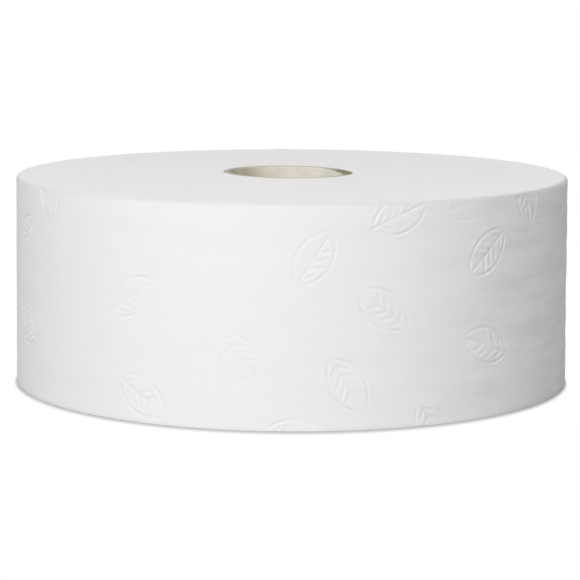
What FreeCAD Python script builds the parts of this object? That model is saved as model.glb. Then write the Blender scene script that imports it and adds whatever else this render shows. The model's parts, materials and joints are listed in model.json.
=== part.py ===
# A jumbo roll of toilet paper, standing on one end.
# One long sheet of tissue, pressed with leaves, is wound on a cardboard core.
# Millimetres. The origin is the middle of the lower end, and +Z runs up the winding axis.
# Places round the roll are angles from the front, which faces -Y, growing towards +X.

import FreeCAD, Part
import math
import os

import Sketcher

# Each driving size: its name, its value and what it measures.
SIZES = [
    ("RollDiameter", 260.0, "outside of the wound paper, the mean over its last turn"),
    ("PaperWidth", 97.0, "width of the sheet, which is the height of the standing roll"),
    ("SheetEndStep", 0.3, "step at the loose end of the sheet, down to the turn below"),
    ("RimChamfer", 1.2, "softened outer rims"),
    ("CoreBore", 55.8, "clear bore of the core"),
    ("CoreWall", 2.6, "wall of the core"),
    ("CoreShift", 1.7, "how far the core stands to the left of the middle of the winding"),
    ("CoreCreep", 0.6, "how far the core has crept up through the winding"),
    ("WindingClearance", 0.05, "room between the core and the first turn"),
    ("TurnPitch", 30.0, "growth of the turn line on each end, for one turn"),
    ("TurnLineWidth", 0.9, "width of the turn line"),
    ("TurnLineDepth", 0.3, "depth of the turn line"),
    ("TurnMargin", 4.0, "plain paper between the turn line and either rim"),
    ("LeafLength", 27.5, "pressed leaf, from tip to tip"),
    ("LeafWidth", 15.0, "pressed leaf, across its middle"),
    ("LeafDepth", 0.3, "depth of the two pressed halves of a leaf"),
    ("MidribWidth", 1.1, "paper left standing between the halves"),
    ("LeafRepeat", 247.0, "length of sheet after which the leaves repeat"),
]

# One repeat of the pressed leaves. Each leaf has the place of its middle along the sheet,
# as a share of the repeat, its height, as a share of the sheet's width, and its slope in degrees.
LEAVES = [
    (-0.513, 0.98, -75.0),
    (-0.344, 0.87, 51.0),
    (-0.294, 0.56, 33.0),
    (-0.271, 0.12, -32.0),
    (-0.153, 0.74, -60.0),
    (-0.092, 0.33, -47.0),
    (-0.009, -0.03, 20.0),
    (0.039, 0.76, 57.0),
    (0.098, 0.20, -58.0),
    (0.161, 0.53, -37.0),
    (0.190, 0.94, 23.0),
    (0.257, -0.01, -60.0),
    (0.330, 0.98, 15.0),
    (0.374, 0.33, -20.0),
    (0.375, 0.75, 40.5),
]

# A spiral is drawn with four quarter arcs a turn. Their centres are the corners of a small
# square whose side is a quarter of the growth, so each arc starts tangent to the one before.
CORNERS = [(-1, -1), (1, -1), (1, 1), (-1, 1)]
QUARTER = 90.0
LOOSE_END = 180.0  # the sheet ends at the back, where the first quarter starts
LEAF_REACH = 3.0  # how far a leaf's cut starts inside the wall, in depths and steps

OUTLINE_SIDE = "Sizes.SheetEndStep / 4"
TURN_SIDE = "Sizes.TurnPitch / 4"
PAPER_BORE = "Sizes.CoreBore / 2 + Sizes.CoreWall + Sizes.WindingClearance"
CORE_MIDDLE = "-Sizes.CoreShift"


def point(x, y):
    return FreeCAD.Vector(x, y, 0)


def add_sizes(doc):
    """The spreadsheet of driving sizes, as a function from a name to its value."""
    sheet = doc.addObject("Spreadsheet::Sheet", "Sizes")
    for row, (name, value, meaning) in enumerate(SIZES, start=1):
        sheet.set(f"A{row}", name)
        sheet.set(f"B{row}", str(value))
        sheet.set(f"C{row}", meaning)
        sheet.setAlias(f"B{row}", name)
    doc.recompute()
    return sheet.get


def add_sketch(body, name, plane):
    """An empty sketch on one of the body's origin planes."""
    sketch = body.newObject("Sketcher::SketchObject", name)
    support = next(item for item in body.Origin.OriginFeatures if item.Role == plane)
    sketch.AttachmentSupport = (support, "")
    sketch.MapMode = "FlatFace"
    return sketch


def constrain(sketch, plain, measured):
    """Add the plain constraints, then those bound to a formula on the spreadsheet."""
    sketch.addConstraint([Sketcher.Constraint(*terms) for terms in plain])
    indices = sketch.addConstraint([Sketcher.Constraint(*terms) for terms, _ in measured])
    for index, (_, formula) in zip(indices, measured):
        sketch.setExpression(f"Constraints[{index}]", formula)


def stand_on_corner(sketch, quarter, side, shift):
    """Stand a sketch on one corner of a spiral's square, facing the start of its quarter."""
    across, along = CORNERS[quarter]
    facing = FreeCAD.Rotation(FreeCAD.Vector(0, 1, 0), QUARTER * (quarter + 1))
    sketch.AttachmentOffset = FreeCAD.Placement(FreeCAD.Vector(), facing)
    sketch.setExpression("AttachmentOffset.Base.x", f"{across} * {side} / 2 - {shift}")
    sketch.setExpression("AttachmentOffset.Base.z", f"{shift} - {along} * {side} / 2")


def paper_bore(size):
    """The radius of the hole in the winding, which PAPER_BORE states as a formula."""
    return size("CoreBore") / 2 + size("CoreWall") + size("WindingClearance")


def revolve(body, kind, name, sketch, angle):
    """Turn a sketch about its own upright axis, to add or to cut."""
    feature = body.newObject(f"PartDesign::{kind}", name)
    feature.Profile = sketch
    feature.ReferenceAxis = (sketch, ["V_Axis"])
    feature.Angle = angle
    return feature


def add_outline(sketch, corners):
    """A closed outline of straight lines, each corner bound to its two formulas."""
    places = [point(x, y) for x, y, _, _ in corners]
    lines = sketch.addGeometry([
        Part.LineSegment(place, after) for place, after in zip(places, places[1:] + places[:1])
    ])
    plain, measured = [], []
    for n, (line, (x, y, across, along)) in enumerate(zip(lines, corners)):
        plain.append(("Coincident", lines[n - 1], 2, line, 1))
        measured.append((("DistanceX", -1, 1, line, 1, x), across))
        measured.append((("DistanceY", -1, 1, line, 1, y), along))
    constrain(sketch, plain, measured)


def winding_section(body, size, quarter):
    """Half of the wound paper's section on one quarter, with softened outer rims."""
    sketch = add_sketch(body, f"Section{quarter}", "XZ_Plane")
    stand_on_corner(sketch, quarter, OUTLINE_SIDE, OUTLINE_SIDE)
    inside, outside = size("CoreBore") / 4, size("RollDiameter") / 2
    rim, high = size("RimChamfer"), size("PaperWidth")
    in_formula = "Sizes.CoreBore / 4"
    out_formula = f"Sizes.RollDiameter / 2 + {quarter - 2} * {OUTLINE_SIDE}"
    add_outline(sketch, [
        (inside, 0, in_formula, "0"),
        (outside - rim, 0, f"{out_formula} - Sizes.RimChamfer", "0"),
        (outside, rim, out_formula, "Sizes.RimChamfer"),
        (outside, high - rim, out_formula, "Sizes.PaperWidth - Sizes.RimChamfer"),
        (outside - rim, high, f"{out_formula} - Sizes.RimChamfer", "Sizes.PaperWidth"),
        (inside, high, in_formula, "Sizes.PaperWidth"),
    ])
    return sketch


def turn_line_teeth(body, size, quarter):
    """The pointed teeth that cut the turn line into both ends, on one quarter."""
    sketch = add_sketch(body, f"Teeth{quarter}", "XZ_Plane")
    stand_on_corner(sketch, quarter, TURN_SIDE, "0")
    pitch, width, depth = size("TurnPitch"), size("TurnLineWidth"), size("TurnLineDepth")
    first = paper_bore(size) + size("CoreShift") + size("TurnMargin")
    turns = int((size("RollDiameter") / 2 - size("TurnMargin") - pitch / 2 - first) // pitch)
    for turn in range(turns):
        grown = turn + (quarter + 1) / 4
        x = first + grown * pitch
        across = f"{PAPER_BORE} + Sizes.CoreShift + Sizes.TurnMargin + {grown} * Sizes.TurnPitch"
        for y, along, sign in ((0, "0", "+"), (size("PaperWidth"), "Sizes.PaperWidth", "-")):
            out, into = (-depth, depth) if sign == "+" else (depth, -depth)
            clear = f"{along} - ({sign}1) * Sizes.TurnLineDepth"
            add_outline(sketch, [
                (x - width, y + out, f"{across} - Sizes.TurnLineWidth", clear),
                (x + width, y + out, f"{across} + Sizes.TurnLineWidth", clear),
                (x, y + into, across, f"{along} {sign} Sizes.TurnLineDepth"),
            ])
    return sketch


def wound_paper(doc, size):
    """The wound sheet without its pressed leaves, as four quarters of a spiral round the bore."""
    body = doc.addObject("PartDesign::Body", "winding")
    for quarter in range(4):
        revolve(body, "Revolution", f"Winding{quarter}", winding_section(body, size, quarter), QUARTER)
    circle = add_sketch(body, "PaperBore", "XY_Plane")
    radius, shift = paper_bore(size), size("CoreShift")
    hole = circle.addGeometry(Part.Circle(point(-shift, 0), FreeCAD.Vector(0, 0, 1), radius))
    constrain(circle, [("PointOnObject", hole, 3, -1)], [
        (("Radius", hole, radius), PAPER_BORE),
        (("DistanceX", -1, 1, hole, 3, -shift), CORE_MIDDLE),
    ])
    bore = body.newObject("PartDesign::Pocket", "Bore")
    bore.Profile = circle
    bore.Type = "ThroughAll"
    bore.Reversed = True
    for quarter in range(4):
        revolve(body, "Groove", f"TurnLine{quarter}", turn_line_teeth(body, size, quarter), QUARTER)
    return body


def quarter_cylinders(size, growth, low, high):
    """The wound outline as a solid between two heights, its radii changed by some growth."""
    side = size("SheetEndStep") / 4
    solid = None
    for quarter, (across, along) in enumerate(CORNERS):
        corner = FreeCAD.Vector(across * side / 2 - side, along * side / 2 - side, low)
        radius = size("RollDiameter") / 2 + (quarter - 2) * side + growth
        piece = Part.makeCylinder(radius, high - low, FreeCAD.Vector(), FreeCAD.Vector(0, 0, 1), QUARTER)
        piece.rotate(FreeCAD.Vector(), FreeCAD.Vector(0, 0, 1), QUARTER * (quarter + 1))
        piece.translate(corner)
        solid = piece if solid is None else solid.fuse(piece)
    return solid.removeSplitter()


def leaf_halves(size):
    """The two halves of a leaf, flat in the XY plane with the midrib along X."""
    half_length, half_width, rib = size("LeafLength") / 2, size("LeafWidth") / 2, size("MidribWidth") / 2
    arc_radius = (half_length**2 + half_width**2) / (2 * half_width)
    rib_end = math.sqrt(arc_radius**2 - (arc_radius - half_width + rib) ** 2)
    halves = []
    for way in (1, -1):
        start, end = point(-rib_end, way * rib), point(rib_end, way * rib)
        edge = Part.Arc(start, point(0, way * half_width), end)
        halves.append(Part.Face(Part.Wire([edge.toShape(), Part.makeLine(end, start)])))
    return halves


def pressed_leaves(doc, size):
    """The space that the pressed leaves take out of the wall, all round the last turn."""
    reach = LEAF_REACH * (size("SheetEndStep") + size("LeafDepth"))
    radius = size("RollDiameter") / 2
    low, high = size("RimChamfer"), size("PaperWidth") - size("RimChamfer")
    degrees = 180 / (math.pi * radius)
    half_leaf = size("LeafLength") / 2 * degrees
    repeats = math.ceil(math.pi * radius / size("LeafRepeat")) + 1
    prisms = []
    for repeat in range(-repeats, repeats + 1):
        for along, height, slope in LEAVES:
            angle = (along + repeat) * size("LeafRepeat") * degrees
            if abs(angle) + half_leaf > LOOSE_END:
                continue
            upright = FreeCAD.Rotation(FreeCAD.Vector(0, 0, 1), angle) * FreeCAD.Rotation(
                FreeCAD.Vector(1, 0, 0), 90
            )
            turned = upright * FreeCAD.Rotation(FreeCAD.Vector(0, 0, 1), slope)
            outwards = upright.multVec(FreeCAD.Vector(0, 0, 1))
            middle = outwards * (radius - reach) + FreeCAD.Vector(0, 0, height * size("PaperWidth"))
            for half in leaf_halves(size):
                half.Placement = FreeCAD.Placement(middle, turned)
                prisms.append(half.extrude(outwards * 2 * reach))
    outside = quarter_cylinders(size, 2 * reach, low, high)
    wall = outside.cut(quarter_cylinders(size, -size("LeafDepth"), low, high))
    feature = doc.addObject("Part::Feature", "pressed_leaves")
    feature.Shape = wall.common(prisms)
    return feature


def paper_roll(doc, size):
    """The wound sheet with the leaves pressed into its wall."""
    roll = doc.addObject("Part::Cut", "paper_roll")
    roll.Base = wound_paper(doc, size)
    roll.Tool = pressed_leaves(doc, size)
    roll.Label = "paper_roll"
    return roll


def core(doc, size):
    """The cardboard tube under the sheet, cut off with it and so as long as the sheet is wide."""
    body = doc.addObject("PartDesign::Body", "core")
    body.Label = "core"
    sketch = add_sketch(body, "Wall", "XZ_Plane")
    sketch.setExpression("AttachmentOffset.Base.x", CORE_MIDDLE)
    inner, outer = size("CoreBore") / 2, size("CoreBore") / 2 + size("CoreWall")
    low, high = size("CoreCreep"), size("PaperWidth") + size("CoreCreep")
    inside, outside = "Sizes.CoreBore / 2", "Sizes.CoreBore / 2 + Sizes.CoreWall"
    foot, head = "Sizes.CoreCreep", "Sizes.PaperWidth + Sizes.CoreCreep"
    add_outline(sketch, [
        (inner, low, inside, foot),
        (outer, low, outside, foot),
        (outer, high, outside, head),
        (inner, high, inside, head),
    ])
    revolve(body, "Revolution", "Tube", sketch, 360)
    return body


def check(doc, nodes):
    """Stop if any object failed to compute or any sub-part has no valid solid."""
    for item in doc.Objects:
        if "Invalid" in item.State or "Error" in item.State:
            raise RuntimeError(f"{item.Label} failed: {item.State}")
    for node in nodes:
        if node.Shape.isNull() or not node.Shape.isValid() or len(node.Shape.Solids) != 1:
            raise RuntimeError(f"{node.Label} is not one valid solid")


def main():
    doc = FreeCAD.newDocument("toilet_paper_roll")
    size = add_sizes(doc)
    nodes = [paper_roll(doc, size), core(doc, size)]
    doc.recompute()
    check(doc, nodes)
    os.makedirs("parts", exist_ok=True)
    for node in nodes:
        node.Shape.exportStep(f"parts/{node.Label}.step")


main()
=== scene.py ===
"""A jumbo roll of toilet paper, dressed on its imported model. All lengths are in metres."""

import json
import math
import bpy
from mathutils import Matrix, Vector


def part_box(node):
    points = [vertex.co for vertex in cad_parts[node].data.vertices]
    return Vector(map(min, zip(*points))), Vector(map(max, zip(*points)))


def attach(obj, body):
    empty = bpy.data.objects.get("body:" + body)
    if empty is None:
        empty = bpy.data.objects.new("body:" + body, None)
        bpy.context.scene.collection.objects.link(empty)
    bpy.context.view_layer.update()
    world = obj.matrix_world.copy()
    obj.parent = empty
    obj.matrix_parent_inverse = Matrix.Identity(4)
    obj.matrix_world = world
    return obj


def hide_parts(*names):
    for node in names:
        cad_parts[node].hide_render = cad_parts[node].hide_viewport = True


bl_info = {
    "name": "Toilet Paper Roll",
    "version": (1, 0, 0),
    "blender": (4, 5, 0),
    "location": "3D View > Sidebar > Paper Roll",
    "description": "Builds a leaf-pressed jumbo toilet paper roll, its cardboard core and a plain studio",
    "category": "Add Mesh",
}

import bmesh
import bpy
import numpy as np
from bpy.props import FloatProperty, FloatVectorProperty, PointerProperty
from mathutils import Matrix, Vector, noise

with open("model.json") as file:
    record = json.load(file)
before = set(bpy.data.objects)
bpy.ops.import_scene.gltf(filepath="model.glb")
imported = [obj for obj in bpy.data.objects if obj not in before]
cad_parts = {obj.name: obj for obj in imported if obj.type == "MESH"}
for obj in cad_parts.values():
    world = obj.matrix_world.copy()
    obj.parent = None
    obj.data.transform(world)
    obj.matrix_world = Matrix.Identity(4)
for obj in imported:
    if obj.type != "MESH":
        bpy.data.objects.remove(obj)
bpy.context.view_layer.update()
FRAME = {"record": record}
PAPER_LOW, PAPER_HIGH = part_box("paper_roll")
CORE_LOW, CORE_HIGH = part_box("core")
CORE_BORE = FRAME["record"]["mounts"][0]["dims"]["r_mm"] / 1000

MM = 0.001
WIDTH = PAPER_HIGH.z - PAPER_LOW.z
RADIUS = (PAPER_HIGH.x - PAPER_LOW.x + PAPER_HIGH.y - PAPER_LOW.y) / 4
CORE_RADIUS = (CORE_HIGH.x - CORE_LOW.x) / 2
CORE_X = (CORE_HIGH.x + CORE_LOW.x) / 2
CREEP = CORE_HIGH.z - PAPER_HIGH.z
WINDING_CLEARANCE = 0.05 * MM
LEAF_REPEAT = 247 * MM

# One repeat of the pressed leaves. Each leaf has the place of its middle along the sheet,
# as a share of the repeat, its height, as a share of the sheet's width, the way that it points
# from its stem to its tip, in degrees, and how clearly it is pressed.
LEAVES = [
    (-0.513, 0.98, -75.0, 1.2),
    (-0.344, 0.87, 51.0, 0.3),
    (-0.294, 0.56, 33.0, 0.6),
    (-0.271, 0.12, -32.0, 0.7),
    (-0.153, 0.74, -60.0, 0.4),
    (-0.092, 0.33, -47.0, 0.5),
    (-0.009, -0.03, 20.0, 0.6),
    (0.039, 0.76, 57.0, 0.6),
    (0.098, 0.20, -58.0, 0.9),
    (0.161, 0.53, 143.0, 0.9),
    (0.190, 0.94, 23.0, 0.8),
    (0.257, -0.01, -60.0, 0.9),
    (0.330, 0.98, 15.0, 0.35),
    (0.374, 0.33, 160.0, 1.0),
    (0.375, 0.75, 220.5, 1.0),
]

# The drawing of a leaf. Places along it are shares of its half length, with its middle at 0.
MIDRIB_END = 0.86
VEINS = 4
FIRST_VEIN = -0.72
VEINED_LENGTH = 1.2
VEIN_SLOPE = math.radians(48)
VEIN_GAP = 2.2 * MM  # between a vein's end and the outline
OPEN_END = 3.5 * MM  # over which the outline fades towards both ends of the leaf
MIDRIB_SHARE = 0.9  # depth of the midrib, as a share of the outline's
VEIN_SHARE = 0.7
VEIN_WIDTH_SHARE = 0.8
LIP_SHARE = 0.25  # height of the lip outside the outline
LIP_PLACE = 2.4  # middle of that lip, in half widths of a line
NEAR_LEAF = 5 * MM  # how far round a leaf its lines are worked out
LINE_CUTS = 3  # across each cell near a line
CELL_REACH = 0.72  # the finer cells reach this many cells from a line
LINE_REACH = 1.6  # and this many half widths of a line on top

# Features of the noise that makes the sheet uneven: along it, through it and up it.
PRESSED_PATCHES = (8 * MM, MM, 8 * MM)
LONG_WRINKLES = (60 * MM, MM, 7 * MM)
SHORT_WRINKLES = (26 * MM, MM, 11 * MM)
SLACK_WAVES = (34 * MM, MM, 120 * MM)
SHORT_SHARE = 0.6  # height of the short wrinkles, as a share of the long ones'
CALM_SHARE = 0.45  # height of all the wrinkles at the front and the left
WRINKLED_FROM = 90 * MM  # along the sheet from the front, to the right
END_FADE = 12 * MM  # over which the waves fade towards the loose end
PRESSED_THROUGH = 0.4  # share of the strip's thickness that the pressing reaches
LOOSE_SHARE = 0.9  # thickness of the loose end, as a share of its step

# Features of the noise along a radius of the two ends.
TIDES = (17 * MM, MM, MM)
RINGS = (2.3 * MM, MM, MM)
RING_FADE = 4 * MM  # over which they fade towards the bore and the last turns

PAPER_STEPS = 360
CORE_STEPS = 420
CORE_CUTS = 140  # across the bore's length, for the seam
ROUND_STEPS = 3  # round a small edge
RIM_STEPS = 8  # round the upper outer rim
FRAYED_DEPTH = 4 * MM  # how far below its end the core is worn
RAGGED_SHARE = 0.5
RAGGED_SIZE = 1.6 * MM
TINY = 0.01 * MM  # what lies closer than this is at the same place

# Where the tissue's faint streaks come up and fade, along the sheet, and the size of a streak.
STREAKS_RISE = (30 * MM, 130 * MM)
STREAKS_FADE = (250 * MM, 380 * MM)
STREAK_SIZE = (40 * MM, 8 * MM, MM)
# Painted shade: the board is darker and browner to the left of the axis.
PAINTED_SHADE_SIDE = (4 * MM, 26 * MM)  # to the left of the axis, where the board grows browner


def length(name, description, default):
    """A length that a user can change."""
    return FloatProperty(name=name, description=description, default=default, unit="LENGTH", precision=5)


def colour(name, description, default):
    """A colour that a user can change."""
    return FloatVectorProperty(
        name=name, description=description, default=default, subtype="COLOR", size=3, min=0, max=1
    )


def angle(name, description, degrees):
    """An angle that a user can change."""
    return FloatProperty(
        name=name, description=description, default=math.radians(degrees), subtype="ANGLE"
    )


def number(name, description, default):
    """A power, a strength or another plain number that a user can change."""
    return FloatProperty(name=name, description=description, default=default, min=0)


class PaperSizes(bpy.types.PropertyGroup):
    """Sizes of the wound paper."""

    strip: length("Last turns", "Thickness of the last turns, which are one strip", 2.4 * MM)
    sheet_step: length("Sheet end step", "Step where the sheet ends on the turn below", 0.3 * MM)
    overlap: length("Overlap", "Length of the loose end that lies on the start of the strip", 9 * MM)
    rim: length("Rim rounding", "Rounding of the upper outer rim", 1.7 * MM)
    foot: length("Foot rounding", "Rounding of the lower outer rim, which stands on the floor", 0.2 * MM)
    cell: length("Cell", "Spacing of the strip's mesh away from the leaves", 2.0 * MM)
    leaf_length: length("Leaf length", "Pressed leaf, from tip to tip", 27.5 * MM)
    leaf_width: length("Leaf width", "Pressed leaf, across its middle", 15.0 * MM)
    line_width: length("Line width", "Half width of a pressed line", 0.46 * MM)
    line_depth: length("Line depth", "Depth of a pressed line", 0.32 * MM)
    puff: length("Puff", "How far the paper swells between the lines of a leaf", 0.1 * MM)
    wrinkle: length("Wrinkles", "Height of the soft wrinkles along the sheet, at the right", 0.25 * MM)
    slack: length("Slack", "Height of the slow unevenness round the roll", 0.22 * MM)
    spread: length("Spread", "How much further the roll reaches at its foot than at its upper rim", 0.9 * MM)
    bore_rim: length("Bore rim", "Rounding of the paper's rims round the core", 0.5 * MM)
    level_band: length("Level band", "Outer turns that have not crept up with the core", 25 * MM)
    turn_pitch: length("Turn pitch", "Growth of the marked spiral on the ends in one turn", 6 * MM)
    turn_relief: length("Turn relief", "How unevenly the turns end on the two faces", 0.16 * MM)


class CoreSizes(bpy.types.PropertyGroup):
    """Sizes of the cardboard core."""

    edge: length("Edge rounding", "Worn edges of the cut cardboard", 0.35 * MM)
    seam_pitch: length("Seam pitch", "Rise of the board's seam in one turn", 72 * MM)
    seam_width: length("Seam width", "Half width of the seam", 0.55 * MM)
    seam_depth: length("Seam depth", "Depth of the seam", 0.18 * MM)
    lean: length("Lean", "How much the core stands higher at its left and lower at its right", 0.22 * MM)
    frayed: length("Frayed edge", "How far the bore's upper edge is worn down on one side", 1.8 * MM)
    frayed_outside: length("Frayed outside", "How far the outer edge is worn down there", 0.2 * MM)
    fray_angle: angle("Fray angle", "Place of the worn edge round the roll", 106)
    fray_spread: angle("Fray spread", "Half of the worn edge's length round the bore", 25)


class RollColours(bpy.types.PropertyGroup):
    """Colours of the paper and the cardboard."""

    tissue: colour("Tissue", "Bleached tissue", (0.885, 0.866, 0.868))
    # Painted shade: a darker tissue colour on the rounded upper rim, which keeps the rim from looking
    # brighter than the wall and the top.
    painted_rim_shade: colour("Painted rim shade", "Tissue on the rounded rim", (0.73, 0.715, 0.715))
    # Also the colour of the painted shade in the pressed grooves.
    tissue_shade: colour("Tissue shade", "Tissue where it is thinner or pressed", (0.80, 0.785, 0.782))
    streak_tissue: colour("Streak tissue", "Tissue in the faint streaks at the right", (0.77, 0.765, 0.73))
    board: colour("Board", "Pale face of the recycled board", (0.90, 0.877, 0.80))
    # Also the colour of the painted shade at the left of the bore.
    board_shade: colour("Board shade", "Darker fibres in the board", (0.62, 0.57, 0.46))
    cut_board: colour("Cut board", "Grey middle of the board, seen where it is cut", (0.44, 0.42, 0.37))
    frayed_dark_board: colour("Frayed dark board", "The board where its cut end is worn", (0.23, 0.22, 0.155))
    floor: colour("Floor", "Plain pale floor", (0.55, 0.55, 0.55))


class StudioSizes(bpy.types.PropertyGroup):
    """The camera and the lights."""

    distance: length("Camera distance", "From the camera to the middle of the roll", 1080.3 * MM)
    aim: length("Aim height", "Height on the axis that the camera points at", 40.96 * MM)
    elevation: angle("Elevation", "Camera above level", 8.565)
    tilt: angle("Tilt", "Camera turned about its own line of sight", 0.268)
    pan: angle("Pan", "Camera turned to its left", 0.032)
    sensor: number("Sensor", "Width of the camera's sensor in millimetres", 36)
    lens: number("Lens", "Focal length in millimetres", 140.57)
    key: number("Key light", "Power of the large light at the front left", 21.4)
    key_angle: angle("Key angle", "Place of the key light round the roll", -19)
    key_elevation: angle("Key elevation", "Height of the key light above level", 32)
    key_distance: length("Key distance", "From the key light to the middle of the roll", 1.9)
    key_size: length("Key size", "Side of the square key light", 1.7)
    top: number("Overhead light", "Power of the light overhead", 2.1)
    top_angle: angle("Overhead angle", "Place of the overhead light round the roll", 40)
    top_elevation: angle("Overhead elevation", "Height of the overhead light above level", 75)
    top_distance: length("Overhead distance", "From the overhead light to the middle of the roll", 1.8)
    top_size: length("Overhead size", "Side of the square overhead light", 1.6)
    fill: number("Fill", "Strength of the soft light all round", 0.75)
    left_flag: number("Left flag", "How much darker the soft light is at the left", 0.8)
    right_flag: number("Right flag", "How much darker the soft light is at the right", 1.0)
    floor_size: length("Floor size", "Side of the square floor", 8.0)
    floor_glow: number("Floor glow", "Share of plain white in the floor beside the roll", 0.05)
    shadow_sides: length("Shadow at the sides", "From the roll to where the floor is plain white", 0.8 * MM)
    shadow_front: length("Shadow in front", "How much further that is in front", 8.3 * MM)


def field(points, feature, shift=0):
    """Smooth noise at each point, with features of a size along each axis. Each shift gives other noise."""
    return np.array([noise.noise(Vector(point)) for point in (points + shift) / np.array(feature)])


def share_within(value):
    """A share kept between 0 and 1."""
    return min(max(value, 0), 1)


def leaf_places():
    """Each leaf on the last turn: its place along and up the sheet, its slope and how clear it is."""
    half_turn = math.pi * RADIUS
    half_leaf = bpy.context.scene.paper_sizes.leaf_length / 2
    repeats = math.ceil(half_turn / LEAF_REPEAT) + 1
    for repeat in range(-repeats, repeats + 1):
        for along, height, slope, clear in LEAVES:
            middle = (along + repeat) * LEAF_REPEAT
            if abs(middle) + half_leaf <= half_turn:
                yield middle, PAPER_LOW.z + height * WIDTH, math.radians(slope), clear


def segment_distance(a, b, start, end):
    """Distance from each point of a leaf to a straight line between two points."""
    step_a, step_b = end[0] - start[0], end[1] - start[1]
    share = ((a - start[0]) * step_a + (b - start[1]) * step_b) / (step_a**2 + step_b**2)
    share = np.clip(share, 0, 1)
    return np.hypot(a - start[0] - share * step_a, b - start[1] - share * step_b)


def leaf_distances(a, b):
    """How far points along and across a leaf lie inside its outline, and from its midrib and veins."""
    sizes = bpy.context.scene.paper_sizes
    half_length, half_width = sizes.leaf_length / 2, sizes.leaf_width / 2
    arc = (half_length**2 + half_width**2) / (2 * half_width)
    centre = half_width - arc
    side = np.abs(b)
    inside = arc - np.hypot(a, side - centre)
    midrib = segment_distance(a, b, (-half_length, 0), (MIDRIB_END * half_length, 0))
    veins = np.full_like(a, 1.0)
    for vein in range(VEINS):
        start = (FIRST_VEIN + VEINED_LENGTH * vein / VEINS) * half_length
        along, across = math.cos(VEIN_SLOPE), math.sin(VEIN_SLOPE)
        towards = start * along - centre * across
        reach = math.sqrt(towards**2 - start**2 - centre**2 + (arc - VEIN_GAP) ** 2) - towards
        end = (start + reach * along, reach * across)
        veins = np.minimum(veins, segment_distance(a, side, (start, 0), end))
    return inside, midrib, veins


def each_leaf(s, z):
    """For each leaf, the points near it, their places along and across it, and how clear it is."""
    sizes = bpy.context.scene.paper_sizes
    reach = sizes.leaf_length / 2 + NEAR_LEAF
    for middle, height, slope, clear in leaf_places():
        near = np.nonzero((np.abs(s - middle) < reach) & (np.abs(z - height) < reach))[0]
        right, up = s[near] - middle, z[near] - height
        a = right * math.cos(slope) + up * math.sin(slope)
        b = up * math.cos(slope) - right * math.sin(slope)
        yield near, a, b, clear


def line_distance(s, z):
    """Distance from each point of the sheet to the nearest pressed line."""
    nearest = np.full_like(s, 1.0)
    for near, a, b, _ in each_leaf(s, z):
        inside, midrib, veins = leaf_distances(a, b)
        nearest[near] = np.minimum.reduce([nearest[near], np.abs(inside), midrib, veins])
    return nearest


def groove(distance, half_width):
    """Depth of a soft groove at a distance from its middle, as a share of its full depth."""
    return np.exp(-((distance / half_width) ** 2))


def pressed_depth(s, z):
    """How deep the leaves are pressed at each point of the sheet, as a share of a line's depth."""
    sizes = bpy.context.scene.paper_sizes
    width = sizes.line_width
    depth = np.zeros_like(s)
    for near, a, b, clear in each_leaf(s, z):
        inside, midrib, veins = leaf_distances(a, b)
        closed = np.clip((sizes.leaf_length / 2 - np.abs(a)) / OPEN_END, 0, 1)
        lines = np.maximum(closed * groove(inside, width), MIDRIB_SHARE * groove(midrib, width))
        lines = np.maximum(lines, VEIN_SHARE * groove(veins, VEIN_WIDTH_SHARE * width))
        spots = np.stack([s[near], np.zeros_like(a), z[near]], axis=1)
        patches = np.clip(0.85 + 1.4 * field(spots, PRESSED_PATCHES, shift=11), 0.4, 1.3)
        lip = LIP_SHARE * closed * groove(inside + LIP_PLACE * width, width)
        nearest = np.minimum(np.minimum(inside, midrib), veins)
        swelling = np.where(inside > 0, 1 - groove(nearest, 2 * width), 0) * sizes.puff / sizes.line_depth
        depth[near] += clear * patches * (lines - lip - swelling)
    return depth


def subdivided(bm, edges, cuts):
    """Divide edges and the faces that they bound."""
    bmesh.ops.subdivide_edges(bm, edges=edges, cuts=cuts, use_grid_fill=True)


def edges_along(bm, axis, where=lambda edge: True):
    """The edges that run along one axis and pass a test."""
    found = []
    for edge in bm.edges:
        run = edge.verts[1].co - edge.verts[0].co
        if abs(run[axis]) > 0.999 * run.length and where(edge):
            found.append(edge)
    return found


def spread_at(z):
    """How much further than its middle the roll's wall reaches at a height."""
    return bpy.context.scene.paper_sizes.spread * (0.5 - (z - PAPER_LOW.z) / WIDTH)


def all_near(values, target):
    """Whether every value lies at the target."""
    return all(abs(value - target) < TINY for value in values)


def places(bm):
    """The vertices' places as an array."""
    return np.array([vert.co[:] for vert in bm.verts])


def new_piece(name, bm, node, materials, sharp):
    """Add a finished object that stands for a node, smooth up to a sharp angle in degrees."""
    bmesh.ops.recalc_face_normals(bm, faces=bm.faces)
    mesh = bpy.data.meshes.new(name)
    bm.to_mesh(mesh)
    bm.free()
    mesh.shade_smooth()
    mesh.set_sharp_from_angle(angle=math.radians(sharp))
    piece = bpy.data.objects.new(name, mesh)
    bpy.context.scene.collection.objects.link(piece)
    for material in materials:
        mesh.materials.append(material)
    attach(piece, "root")
    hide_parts(node)


def set_values(bm, name, values):
    """Store one number for each vertex of the mesh, under a name."""
    layer = bm.verts.layers.float.new(name)
    for vert, value in zip(bm.verts, values):
        vert[layer] = float(value)


def strip_section(bm, sizes, run):
    """The last turns of the sheet as a flat bar along X, its outside at Y 0 and its outer rims rounded."""
    bmesh.ops.create_cube(bm, size=1.0)
    bmesh.ops.scale(bm, vec=(run, sizes.strip, WIDTH), verts=bm.verts)
    bmesh.ops.translate(bm, vec=(0, -sizes.strip / 2, PAPER_LOW.z + WIDTH / 2), verts=bm.verts)
    rims = edges_along(bm, 0, lambda edge: edge.verts[0].co.y > -sizes.strip / 2)
    for edge, offset, segments in zip(sorted(rims, key=lambda edge: edge.verts[0].co.z),
                                      (sizes.foot, sizes.rim), (ROUND_STEPS, RIM_STEPS)):
        bmesh.ops.bevel(
            bm, geom=[edge], offset=offset, affect="EDGES", segments=segments, profile=0.5, material=-1
        )


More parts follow.
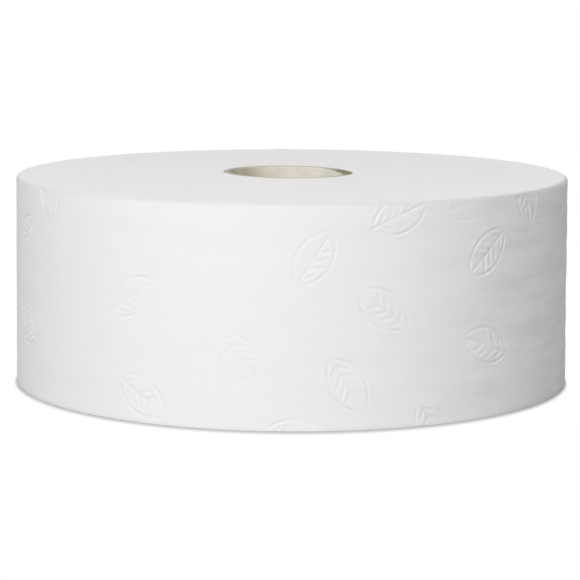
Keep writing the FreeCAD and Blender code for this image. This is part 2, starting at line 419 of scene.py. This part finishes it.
class ROLL_OT_last_turns(bpy.types.Operator):
    """Adds the last turns of the sheet, with the pressed leaves and the loose end"""

    bl_idname = "roll.last_turns"
    bl_label = "Last Turns"

    def execute(self, context):
        sizes = context.scene.paper_sizes
        turn = 2 * math.pi * RADIUS
        run = turn + sizes.overlap
        bm = bmesh.new()
        strip_section(bm, sizes, run)
        subdivided(bm, edges_along(bm, 0), round(run / sizes.cell) - 1)
        upright = edges_along(bm, 2, lambda edge: edge.calc_length() > WIDTH / 2
                              and edge.verts[0].co.y > -TINY)
        subdivided(bm, upright, round(WIDTH / sizes.cell) - 1)
        self.divide_near_lines(bm, sizes)
        self.wind(bm, sizes, turn)
        materials = [tissue_material(), end_grain_material()]
        new_piece("last_turns", bm, "paper_roll", materials, sharp=40)
        return {"FINISHED"}

    def divide_near_lines(self, bm, sizes):
        """Give the strip's outside finer cells where the lines of the leaves run."""
        bm.normal_update()
        bm.edges.index_update()
        wall = [face for face in bm.faces if face.normal.y > 0.999]
        middles = np.array([face.calc_center_median()[:] for face in wall])
        reach = CELL_REACH * sizes.cell + LINE_REACH * sizes.line_width
        fine = np.nonzero(line_distance(middles[:, 0] + sizes.overlap / 2, middles[:, 2]) < reach)[0]
        near_lines = {edge for place in fine for edge in wall[place].edges}
        subdivided(bm, sorted(near_lines, key=lambda edge: edge.index), LINE_CUTS)

    def lay_map(self, bm, sizes):
        """Map the flat strip along and up the sheet, and tell its outside from its cut edges."""
        sheet_map = bm.loops.layers.uv.new("Sheet")
        bm.normal_update()
        for face in bm.faces:
            face.material_index = 0 if face.normal.y > 0.05 else 1
            for loop in face.loops:
                loop[sheet_map].uv = (loop.vert.co.x + sizes.overlap / 2, loop.vert.co.z)

    def waves(self, sizes, s, z, rim_fade, turn):
        """Height of the soft wrinkles and of the slow unevenness round the roll."""
        spots = np.stack([s, np.zeros_like(s), z], axis=1)
        wrinkles = field(spots, LONG_WRINKLES) + SHORT_SHARE * field(spots, SHORT_WRINKLES, shift=3)
        slack = field(spots, SLACK_WAVES, shift=7)
        calm = np.interp(s, (0, WRINKLED_FROM), (CALM_SHARE, 1))
        end_fade = np.clip((turn / 2 - np.abs(s)) / END_FADE, 0, 1)
        return (sizes.wrinkle * calm * wrinkles * rim_fade + sizes.slack * slack) * end_fade

    def wind(self, bm, sizes, turn):
        """Press the leaves into the flat strip, wrinkle it and wind it on the roll."""
        self.lay_map(bm, sizes)
        flat = places(bm)
        s, out, z = flat[:, 0] + sizes.overlap / 2, flat[:, 1], flat[:, 2]
        outer = np.clip(1 + out / (PRESSED_THROUGH * sizes.strip), 0, 1)
        rim_fade = np.clip(np.minimum(z - PAPER_LOW.z, PAPER_HIGH.z - z) / sizes.rim, 0, 1)
        pressed = pressed_depth(s, z) * outer * rim_fade
        set_values(bm, "pressed", pressed)
        # Share of the painted shade on the rounded upper rim: 0 where it meets the wall and the top, 1
        # halfway round it.
        turned = np.maximum(sizes.rim + z - PAPER_HIGH.z, 0) * np.maximum(sizes.rim + out, 0)
        set_values(bm, "rim", 2 * turned / sizes.rim**2)
        # The strip grows thicker along the winding. Past its start it is one sheet, the loose end.
        share = s / turn
        growth = sizes.sheet_step * (share + 0.5)
        depth = out * (1 + growth / sizes.strip)
        lifted = np.clip((s - turn / 2) / sizes.cell, 0, 1)
        deepest = -(sizes.strip + growth) * (1 - lifted) - LOOSE_SHARE * sizes.sheet_step * lifted
        depth = np.maximum(depth, deepest)
        relief = (self.waves(sizes, s, z, rim_fade, turn) - sizes.line_depth * pressed) * outer
        radius = RADIUS + sizes.sheet_step * share + depth + relief + spread_at(z)
        for vert, r, theta, height in zip(bm.verts, radius, s / RADIUS, z):
            vert.co = (r * math.sin(theta), -r * math.cos(theta), height)


def ring_section(bm, inner, outer, low, high, steps):
    """The outline of a ring's section, upright on the XZ plane, with its ends divided in equal steps."""
    bmesh.ops.create_grid(bm, x_segments=steps, y_segments=1, size=0.5)
    bmesh.ops.rotate(bm, verts=bm.verts, cent=(0, 0, 0), matrix=Matrix.Rotation(math.pi / 2, 3, "X"))
    bmesh.ops.scale(bm, vec=(outer - inner, 1, high - low), verts=bm.verts)
    bmesh.ops.translate(bm, vec=((inner + outer) / 2, 0, (low + high) / 2), verts=bm.verts)
    bmesh.ops.delete(bm, geom=bm.faces[:], context="FACES_ONLY")
    inside = [
        edge for edge in edges_along(bm, 2) if inner + TINY < edge.verts[0].co.x < outer - TINY
    ]
    bmesh.ops.delete(bm, geom=inside, context="EDGES")


def spun_ring(bm, steps):
    """Turn the section in the mesh once round the axis and close it."""
    bmesh.ops.spin(
        bm, geom=bm.verts[:] + bm.edges[:], cent=(0, 0, 0), axis=(0, 0, 1), angle=2 * math.pi,
        steps=steps, use_merge=True,
    )
    bmesh.ops.recalc_face_normals(bm, faces=bm.faces)


def round_rims(bm, radii, offset, segments):
    """Round the upper and lower rims at the given radii."""
    heights = [vert.co.z for vert in bm.verts]
    levels = min(heights), max(heights)
    rims = []
    for edge in bm.edges:
        ends = [vert.co for vert in edge.verts]
        level = any(all_near([end.z for end in ends], height) for height in levels)
        if level and any(all_near([end.xy.length for end in ends], radius) for radius in radii):
            rims.append(edge)
    bmesh.ops.bevel(
        bm, geom=rims, offset=offset, affect="EDGES", segments=segments, profile=0.5, material=-1
    )


def core_lift(across):
    """How much higher the leaning core stands at a place, from -1 at its left to 1 at its right."""
    return -across * bpy.context.scene.core_sizes.lean


class ROLL_OT_inner_turns(bpy.types.Operator):
    """Adds all the turns inside the last ones, with the edges of the sheet on both ends"""

    bl_idname = "roll.inner_turns"
    bl_label = "Inner Turns"

    def execute(self, context):
        sizes = context.scene.paper_sizes
        inner = CORE_RADIUS + WINDING_CLEARANCE
        outer = RADIUS - sizes.strip - sizes.sheet_step / 2
        bm = bmesh.new()
        ring_section(bm, inner, outer, PAPER_LOW.z, PAPER_HIGH.z, round((outer - inner) / MM))
        spun_ring(bm, PAPER_STEPS)
        round_rims(bm, [inner], sizes.bore_rim, ROUND_STEPS)
        self.uneven_ends(bm, sizes, inner, outer)
        self.creep(bm, inner, RADIUS - sizes.level_band)
        self.fit_walls(bm, inner, outer)
        new_piece("inner_turns", bm, "paper_roll", [end_grain_material()], sharp=40)
        return {"FINISHED"}

    def uneven_ends(self, bm, sizes, inner, outer):
        """Let the turns end a little unevenly, in a spiral that fades towards both rims."""
        spots = places(bm)
        r = np.hypot(spots[:, 0], spots[:, 1])
        bearing = np.arctan2(spots[:, 1], spots[:, 0])
        line = np.stack([r, np.zeros_like(r), np.zeros_like(r)], axis=1)
        tide = 0.5 + field(line, TIDES)
        spiral = np.sin(2 * math.pi * r / sizes.turn_pitch - bearing) * tide
        rings = field(line, RINGS, shift=5)
        fade = np.clip(np.minimum(r - inner, outer - r) / RING_FADE, 0, 1)
        inward = sizes.turn_relief * np.clip(0.5 + 0.3 * spiral + 0.5 * rings, 0, 1) * fade
        for vert, depth in zip(bm.verts, inward):
            if vert.co.z > PAPER_HIGH.z - TINY:
                vert.co.z -= depth
            elif vert.co.z < PAPER_LOW.z + TINY:
                vert.co.z += depth

    def creep(self, bm, inner, level):
        """Lift the turns that have crept up with the leaning core, the most at the bore."""
        for vert in bm.verts:
            share = max(0, (level - vert.co.xy.length) / (level - inner))
            vert.co.z += share * (CREEP + core_lift(vert.co.x / vert.co.xy.length))

    def fit_walls(self, bm, inner, outer):
        """Bring the bore round the core, which stands off the middle, and the outside to the last turns."""
        for vert in bm.verts:
            radius = vert.co.xy.length
            share = (radius - inner) / (outer - inner)
            grown = 1 + share * spread_at(vert.co.z) / radius
            vert.co.x, vert.co.y = vert.co.x * grown + CORE_X * (1 - share), vert.co.y * grown


class ROLL_OT_core(bpy.types.Operator):
    """Adds the cardboard core, with the seam of its board and its cut ends"""

    bl_idname = "roll.core"
    bl_label = "Core"

    def execute(self, context):
        sizes = context.scene.core_sizes
        bm = bmesh.new()
        ring_section(bm, CORE_BORE, CORE_RADIUS, CORE_LOW.z, CORE_HIGH.z, 1)
        spun_ring(bm, CORE_STEPS)
        round_rims(bm, [CORE_BORE, CORE_RADIUS], sizes.edge, ROUND_STEPS)
        middle = (CORE_BORE + CORE_RADIUS) / 2
        upright = edges_along(bm, 2, lambda edge: edge.verts[0].co.xy.length < middle
                              and edge.calc_length() > (CORE_HIGH.z - CORE_LOW.z) / 2)
        subdivided(bm, upright, CORE_CUTS)
        self.seam(bm, sizes, middle)
        self.fray(bm, sizes)
        materials = [board_material(), cut_board_material()]
        new_piece("core_tube", bm, "core", materials, sharp=50)
        return {"FINISHED"}

    def seam(self, bm, sizes, middle):
        """Sink the seam where the board's edges meet."""
        seam_layer = bm.verts.layers.float.new("seam")
        slope = math.atan2(sizes.seam_pitch, 2 * math.pi * CORE_BORE)
        for vert in bm.verts:
            x, y, z = vert.co
            bearing = math.atan2(x, -y)
            rise = (z - CORE_HIGH.z) - sizes.seam_pitch * bearing / (2 * math.pi)
            off = (rise + sizes.seam_pitch / 2) % sizes.seam_pitch - sizes.seam_pitch / 2
            off *= math.cos(slope)
            depth = math.exp(-((off / sizes.seam_width) ** 2))
            if math.hypot(x, y) < middle:
                vert[seam_layer] = depth
                grown = 1 + sizes.seam_depth * depth / CORE_BORE
                vert.co.x, vert.co.y = x * grown, y * grown

    def fray(self, bm, sizes):
        """Wear down the upper end on one side, most at the bore, and tell the cut ends from the walls."""
        worn_layer = bm.verts.layers.float.new("worn")
        for vert in bm.verts:
            x, y, z = vert.co
            off = (math.atan2(x, -y) - sizes.fray_angle) / sizes.fray_spread
            near_top = share_within(1 + (z - CORE_HIGH.z) / FRAYED_DEPTH)
            near_bore = share_within((CORE_RADIUS - math.hypot(x, y)) / (CORE_RADIUS - CORE_BORE))
            ragged = 1 + RAGGED_SHARE * noise.noise(vert.co / RAGGED_SIZE)
            depth = sizes.frayed_outside + (sizes.frayed - sizes.frayed_outside) * near_bore
            vert[worn_layer] = near_top * math.exp(-(off**2))
            vert.co.z += core_lift(x / CORE_RADIUS) - depth * ragged * vert[worn_layer]
            vert.co.x += CORE_X
        for face in bm.faces:
            face.normal_update()
            face.material_index = 1 if abs(face.normal.z) > 0.3 else 0


class Socket:
    """An output of a material's node. Arithmetic on it adds Math nodes to the material."""

    def __init__(self, recipe, node, output=0):
        self.recipe = recipe
        self.node = node
        self.output = output

    def out(self, output):
        """Another output of the same node."""
        return Socket(self.recipe, self.node, output)

    def __add__(self, other):
        return self.recipe.math("ADD", self, other)

    def __sub__(self, other):
        return self.recipe.math("SUBTRACT", self, other)

    def __rsub__(self, other):
        return self.recipe.math("SUBTRACT", other, self)

    def __mul__(self, other):
        return self.recipe.math("MULTIPLY", self, other)

    def __truediv__(self, other):
        return self.recipe.math("DIVIDE", self, other)

    def __pow__(self, other):
        return self.recipe.math("POWER", self, other)

    __radd__ = __add__
    __rmul__ = __mul__


class Recipe:
    """The nodes of a material or a world, written as expressions on sockets."""

    def __init__(self, owner):
        self.owner = owner
        owner.use_nodes = True
        self.tree = owner.node_tree
        self.tree.nodes.clear()

    def node(self, kind, settings=None, inputs=None):
        """Add a node: its settings first, then the values or links of its sockets."""
        added = self.tree.nodes.new(kind)
        for name, value in (settings or {}).items():
            setattr(added, name, value)
        for name, value in (inputs or {}).items():
            if isinstance(value, Socket):
                self.tree.links.new(value.node.outputs[value.output], added.inputs[name])
            else:
                added.inputs[name].default_value = value
        return Socket(self, added)

    def math(self, operation, *values):
        """A Math node on numbers or sockets."""
        return self.node("ShaderNodeMath", {"operation": operation}, dict(enumerate(values)))

    def spot(self):
        """The place on the piece."""
        return self.node("ShaderNodeTexCoord").out("Object")

    def split(self, vector):
        """The X, Y and Z of a vector."""
        parts = self.node("ShaderNodeSeparateXYZ", {}, {0: vector})
        return parts, parts.out(1), parts.out(2)

    def attribute(self, name):
        """A number stored on the piece's vertices."""
        return self.node("ShaderNodeAttribute", {"attribute_name": name}).out("Fac")

    def radius(self, middle=0):
        """Distance from an upright axis, which crosses the X axis at the given place."""
        x, y, _ = self.split(self.spot())
        return ((x - middle) ** 2 + y * y) ** 0.5

    def scaled(self, vector, *feature):
        """A vector divided by the size of a feature along each axis."""
        shares = [1 / size for size in feature]
        return self.node("ShaderNodeVectorMath", {"operation": "MULTIPLY"}, {0: vector, 1: shares})

    def noise(self, vector, detail=2.0, roughness=0.5):
        """Noise with features of size 1."""
        return self.node("ShaderNodeTexNoise", {}, {
            "Vector": vector, "Scale": 1.0, "Detail": detail, "Roughness": roughness,
        })

    def noise_along(self, value, detail=2.0, roughness=0.5):
        """Noise that varies with one number alone."""
        return self.node("ShaderNodeTexNoise", {"noise_dimensions": "1D"}, {
            "W": value, "Scale": 1.0, "Detail": detail, "Roughness": roughness,
        })

    def between(self, value, low, high):
        """A smooth step of a value from 0 at one bound to 1 at the other."""
        return self.node("ShaderNodeMapRange", {"interpolation_type": "SMOOTHSTEP"}, {
            "Value": value, "From Min": low, "From Max": high,
        })

    def mixed(self, share, first, second):
        """A colour between two colours."""
        return self.node("ShaderNodeMix", {"data_type": "RGBA"}, {
            0: share, 6: first, 7: second,
        }).out(2)

    def bump(self, height, distance):
        """Normals of a relief whose full height is the distance."""
        return self.node("ShaderNodeBump", {}, {
            "Height": height, "Distance": distance, "Strength": 1.0,
        })

    def matte(self, base, roughness, normal, specular):
        """Finish with a matte surface."""
        surface = self.node("ShaderNodeBsdfPrincipled", {}, {
            "Base Color": base, "Roughness": roughness, "Normal": normal,
            "Specular IOR Level": specular,
        })
        self.node("ShaderNodeOutputMaterial", {}, {"Surface": surface})
        return self.owner


def solid(rgb):
    """A colour without transparency."""
    return (*rgb, 1.0)


def new_recipe(name):
    """The recipe of a new material."""
    return Recipe(bpy.data.materials.new(name))


def tissue_material():
    """Soft bleached tissue: creped across the sheet, cloudy, with faint darker streaks at the right, darker
    in the pressed lines (partly pressed tissue, partly painted shade) and with painted shade on the rounded
    upper rim.
    """
    colours = bpy.context.scene.roll_colours
    recipe = new_recipe("tissue")
    sheet = recipe.node("ShaderNodeUVMap", {"uv_map": "Sheet"})
    pressed = recipe.attribute("pressed")
    clouds = recipe.noise(recipe.scaled(sheet, 11 * MM, 7 * MM, MM), detail=3)
    crepe = recipe.noise(recipe.scaled(sheet, 0.42 * MM, 3.2 * MM, MM), detail=2)
    fibres = recipe.noise(recipe.scaled(sheet, 0.9 * MM, 0.5 * MM, MM), detail=4, roughness=0.65)
    thin = 0.22 * recipe.between(clouds, 0.35, 0.75) + 0.3 * recipe.between(fibres, 0.4, 0.8)
    # The pressed lines are darker, partly as pressed tissue and partly as painted shade in their grooves.
    shade = 0.45 * thin + 0.4 * recipe.between(pressed, 0.15, 1.0)
    plain = recipe.mixed(shade, solid(colours.tissue), solid(colours.tissue_shade))
    along, _, _ = recipe.split(sheet)
    # Faint darker, yellower streaks on the sheet at the right of the front.
    right = recipe.between(along, *STREAKS_RISE) * (1 - recipe.between(along, *STREAKS_FADE))
    streaks = recipe.noise(recipe.scaled(sheet, *STREAK_SIZE), detail=3, roughness=0.6)
    streak_share = 0.5 * right * recipe.between(streaks, 0.38, 0.66)
    streaked = recipe.mixed(streak_share, plain, solid(colours.streak_tissue))
    # Painted shade on the rounded upper rim.
    base = recipe.mixed(recipe.attribute("rim"), streaked, solid(colours.painted_rim_shade))
    normal = recipe.bump(0.5 * crepe + 0.5 * fibres, 0.05 * MM)
    return recipe.matte(base, 0.92 + 0.08 * fibres, normal, 0.08)


def end_grain_material():
    """The cut edges of all the turns, seen on the ends as fine rings of fluffy paper."""
    colours = bpy.context.scene.roll_colours
    recipe = new_recipe("sheet_edges")
    spot = recipe.spot()
    sway = recipe.noise(recipe.scaled(spot, 30 * MM, 30 * MM, 30 * MM), detail=1)
    radius = recipe.radius() + 1.2 * MM * sway
    turns = recipe.noise_along(radius / (0.35 * MM), detail=2, roughness=0.7)
    bundles = recipe.noise_along(radius / (2.6 * MM), detail=2)
    fluff = recipe.noise(recipe.scaled(spot, 0.45 * MM, 0.45 * MM, 0.45 * MM), detail=4, roughness=0.7)
    clouds = recipe.noise(recipe.scaled(spot, 16 * MM, 16 * MM, 16 * MM), detail=2)
    shade = 0.4 * recipe.between(turns, 0.45, 0.8) + 0.25 * recipe.between(bundles, 0.45, 0.75)
    shade = shade + 0.2 * recipe.between(fluff, 0.45, 0.8) + 0.15 * recipe.between(clouds, 0.35, 0.7)
    base = recipe.mixed(0.8 * shade, solid(colours.tissue), solid(colours.tissue_shade))
    normal = recipe.bump(0.55 * turns + 0.15 * bundles + 0.45 * fluff, 0.09 * MM)
    return recipe.matte(base, 0.96 + 0.04 * fluff, normal, 0.08)


def board_fibres(recipe, spot):
    """Fine fibres and coarser clouds of a recycled board."""
    fibres = recipe.noise(recipe.scaled(spot, 1.3 * MM, 1.3 * MM, 0.45 * MM), detail=5, roughness=0.7)
    clouds = recipe.noise(recipe.scaled(spot, 9 * MM, 9 * MM, 5 * MM), detail=3)
    return fibres, clouds


def board_material():
    """The board's pale recycled face, with fibres, specks, the darker seam, and painted shade that makes it
    darker and browner at its left.
    """
    colours = bpy.context.scene.roll_colours
    recipe = new_recipe("board")
    spot = recipe.spot()
    seam = recipe.attribute("seam")
    fibres, clouds = board_fibres(recipe, spot)
    specks = recipe.noise(recipe.scaled(spot, 0.8 * MM, 0.8 * MM, 0.8 * MM), detail=1)
    shade = 0.45 * recipe.between(fibres, 0.35, 0.75) + 0.3 * recipe.between(clouds, 0.35, 0.7)
    shade = shade + 0.5 * recipe.between(specks, 0.68, 0.78) + 0.5 * recipe.between(seam, 0.3, 1.0)
    x, _, _ = recipe.split(spot)
    # Painted shade: darker and browner board at the left of the bore.
    shade = shade + 0.45 * recipe.between(0 - x, *PAINTED_SHADE_SIDE)
    base = recipe.mixed(shade, solid(colours.board), solid(colours.board_shade))
    normal = recipe.bump(0.7 * fibres + 0.3 * specks, 0.08 * MM)
    return recipe.matte(base, 0.8 + 0.15 * fibres, normal, 0.3)


def cut_board_material():
    """The board's cut ends, where its layers show as rings, and very dark where the upper end is frayed."""
    colours = bpy.context.scene.roll_colours
    recipe = new_recipe("cut_board")
    spot = recipe.spot()
    layers = recipe.noise_along(recipe.radius(CORE_X) / (0.22 * MM), detail=1)
    fibres, clouds = board_fibres(recipe, spot)
    shade = 0.3 * recipe.between(layers, 0.4, 0.6) + 0.3 * recipe.between(fibres, 0.4, 0.7)
    whole = recipe.mixed(shade, solid(colours.cut_board), solid(colours.board_shade))
    worn = recipe.between(recipe.attribute("worn"), 0.15, 0.7)
    base = recipe.mixed(worn, whole, solid(colours.frayed_dark_board))
    normal = recipe.bump(0.5 * layers + 0.5 * fibres, 0.1 * MM)
    return recipe.matte(base, 0.9 + 0.1 * clouds, normal, 0.2)


def seen_directly(recipe):
    """1 where the camera looks at the surface, also in a mirror or through glass, and 0 elsewhere."""
    path = recipe.node("ShaderNodeLightPath")
    camera, glossy, through = (path.out(f"Is {kind} Ray") for kind in ("Camera", "Glossy", "Transmission"))
    return recipe.math("MAXIMUM", recipe.math("MAXIMUM", camera, glossy), through)


def floor_material():
    """A pale floor that keeps the roll's shadow beside it and looks white to the camera further out."""
    colours, studio = bpy.context.scene.roll_colours, bpy.context.scene.studio_sizes
    recipe = new_recipe("floor")
    lit = recipe.node("ShaderNodeBsdfDiffuse", {}, {"Color": solid(colours.floor)})
    glow = recipe.node("ShaderNodeEmission", {}, {"Color": (1, 1, 1, 1), "Strength": 1.0})
    x, y, _ = recipe.split(recipe.spot())
    radius = (x * x + y * y) ** 0.5
    front = recipe.math("MAXIMUM", 0 - y / radius, 0)
    reach = studio.shadow_sides + studio.shadow_front * front
    away = recipe.between((radius - RADIUS) / reach, 0.1, 1)
    share = (studio.floor_glow + (1 - studio.floor_glow) * away) * seen_directly(recipe)
    surface = recipe.node("ShaderNodeMixShader", {}, {0: share, 1: lit, 2: glow})
    recipe.node("ShaderNodeOutputMaterial", {}, {"Surface": surface})
    return recipe.owner


def studio_world():
    """Soft light all round, darker at the left and the right, which looks white to the camera."""
    studio = bpy.context.scene.studio_sizes
    world = bpy.data.worlds.new("studio")
    bpy.context.scene.world = world
    recipe = Recipe(world)
    direction = recipe.node("ShaderNodeTexCoord").out("Generated")
    side, _, _ = recipe.split(direction)
    left, right = recipe.math("MINIMUM", side, 0), recipe.math("MAXIMUM", side, 0)
    fill = studio.fill * (1 - studio.left_flag * left * left - studio.right_flag * right * right)
    seen = seen_directly(recipe)
    strength = fill * (1 - seen) + seen
    light = recipe.node("ShaderNodeBackground", {}, {"Color": (1, 1, 1, 1), "Strength": strength})
    recipe.node("ShaderNodeOutputWorld", {}, {"Surface": light})


def from_front(bearing, elevation, distance):
    """A place at a bearing round the roll from its front, at an elevation above its middle."""
    level, rise = distance * math.cos(elevation), distance * math.sin(elevation)
    return Vector((level * math.sin(bearing), -level * math.cos(bearing), WIDTH / 2 + rise))


def soft_lamp(name, place, size, power):
    """A large square lamp that faces the middle of the roll."""
    lamp = bpy.data.lights.new(name, "AREA")
    lamp.shape = "SQUARE"
    lamp.size = size
    lamp.energy = power
    holder = bpy.data.objects.new(name, lamp)
    holder.location = place
    facing = Vector((0, 0, WIDTH / 2)) - place
    holder.rotation_euler = facing.to_track_quat("-Z", "Y").to_euler()
    bpy.context.scene.collection.objects.link(holder)


class ROLL_OT_studio(bpy.types.Operator):
    """Adds the floor, the light and the camera"""

    bl_idname = "roll.studio"
    bl_label = "Studio"

    def execute(self, context):
        studio = context.scene.studio_sizes
        self.floor(studio)
        studio_world()
        key_place = from_front(studio.key_angle, studio.key_elevation, studio.key_distance)
        soft_lamp("key", key_place, studio.key_size, studio.key)
        top_place = from_front(studio.top_angle, studio.top_elevation, studio.top_distance)
        soft_lamp("overhead", top_place, studio.top_size, studio.top)
        self.camera(context, studio)
        context.scene.view_settings.view_transform = "Standard"
        return {"FINISHED"}

    def floor(self, studio):
        """A square floor under the roll."""
        bm = bmesh.new()
        bmesh.ops.create_grid(bm, x_segments=1, y_segments=1, size=studio.floor_size / 2)
        bmesh.ops.translate(bm, vec=(0, 0, PAPER_LOW.z), verts=bm.verts)
        mesh = bpy.data.meshes.new("floor")
        bm.to_mesh(mesh)
        bm.free()
        mesh.materials.append(floor_material())
        floor = bpy.data.objects.new("floor", mesh)
        bpy.context.scene.collection.objects.link(floor)

    def camera(self, context, studio):
        """A camera in front of the roll and a little above it."""
        data = bpy.data.cameras.new("camera")
        data.sensor_width = studio.sensor
        data.lens = studio.lens
        back = Vector((0, -math.cos(studio.elevation), math.sin(studio.elevation)))
        place = Vector((0, 0, studio.aim)) + studio.distance * back
        turn = Matrix.Rotation(studio.pan, 4, "Z")
        upright = (turn.to_3x3() @ -back).to_track_quat("-Z", "Y").to_matrix().to_4x4()
        camera = bpy.data.objects.new("camera", data)
        camera.matrix_world = Matrix.Translation(place) @ upright @ Matrix.Rotation(studio.tilt, 4, "Z")
        context.scene.collection.objects.link(camera)
        context.scene.camera = camera


class ROLL_PT_panel(bpy.types.Panel):
    """Lists the sizes, the colours and the steps that build the roll"""

    bl_idname = "ROLL_PT_panel"
    bl_label = "Toilet Paper Roll"
    bl_space_type = "VIEW_3D"
    bl_region_type = "UI"
    bl_category = "Paper Roll"

    def draw(self, context):
        layout = self.layout
        for group_name in GROUPS:
            group = getattr(context.scene, group_name)
            box = layout.box()
            for name in group.bl_rna.properties.keys():
                if name not in ("rna_type", "name"):
                    box.prop(group, name)
        for operator in STEPS:
            layout.operator(operator.bl_idname)


GROUPS = {
    "paper_sizes": PaperSizes,
    "core_sizes": CoreSizes,
    "roll_colours": RollColours,
    "studio_sizes": StudioSizes,
}
STEPS = (ROLL_OT_last_turns, ROLL_OT_inner_turns, ROLL_OT_core, ROLL_OT_studio)


def register():
    """Make the sizes, the steps and the panel known to Blender."""
    for name, group in GROUPS.items():
        bpy.utils.register_class(group)
        setattr(bpy.types.Scene, name, PointerProperty(type=group))
    for operator in STEPS:
        bpy.utils.register_class(operator)
    bpy.utils.register_class(ROLL_PT_panel)


def unregister():
    """Take back all that register added."""
    bpy.utils.unregister_class(ROLL_PT_panel)
    for operator in reversed(STEPS):
        bpy.utils.unregister_class(operator)
    for name, group in GROUPS.items():
        delattr(bpy.types.Scene, name)
        bpy.utils.unregister_class(group)


def main():
    """Build the roll and its studio."""
    register()
    bpy.ops.roll.last_turns()
    bpy.ops.roll.inner_turns()
    bpy.ops.roll.core()
    bpy.ops.roll.studio()


if __name__ == "__main__":
    main()
